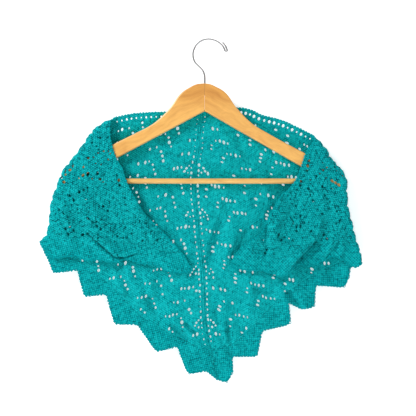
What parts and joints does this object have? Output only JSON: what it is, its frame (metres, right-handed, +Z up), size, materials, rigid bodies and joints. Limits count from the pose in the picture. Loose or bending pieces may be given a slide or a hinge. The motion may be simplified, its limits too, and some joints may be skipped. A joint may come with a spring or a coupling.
{
  "type": "knitted lace shawl on wooden coat hanger",
  "caption": "Triangular knitted lace shawl with a toothed garter edging, folded over the arms of a flat wooden coat hanger with a wire hook and a trouser bar.",
  "frame": {"origin": "the underside of the hook's crown, where the hook rests on a rail", "axes": "+Z up, +X to the viewer's right along the arms, the two wings of the shawl face -Y and its back hangs on the +Y side of the hanger"},
  "size_m": [0.504, 0.0257, 0.5356],
  "materials": {
    "turquoise_yarn": "lace knit in a soft matt turquoise yarn",
    "turquoise_garter": "garter stitch in the same matt turquoise yarn",
    "hanger_wood": "clear satin lacquer on light orange-brown wood",
    "bar_wood": "clear satin lacquer on pale wood",
    "steel_wire": "bright plated wire"
  },
  "bodies": {
    "root": {"hook": "steel_wire", "arm_left": "hanger_wood", "arm_right": "hanger_wood", "trouser_bar": "bar_wood", "back_left": "turquoise_yarn", "back_right": "turquoise_yarn", "spine": "turquoise_yarn", "wing_left": "turquoise_yarn", "wing_right": "turquoise_yarn", "edging_back_left": "turquoise_garter", "edging_back_right": "turquoise_garter", "edging_wing_left": "turquoise_garter", "edging_wing_right": "turquoise_garter"}
  },
  "joints": []
}
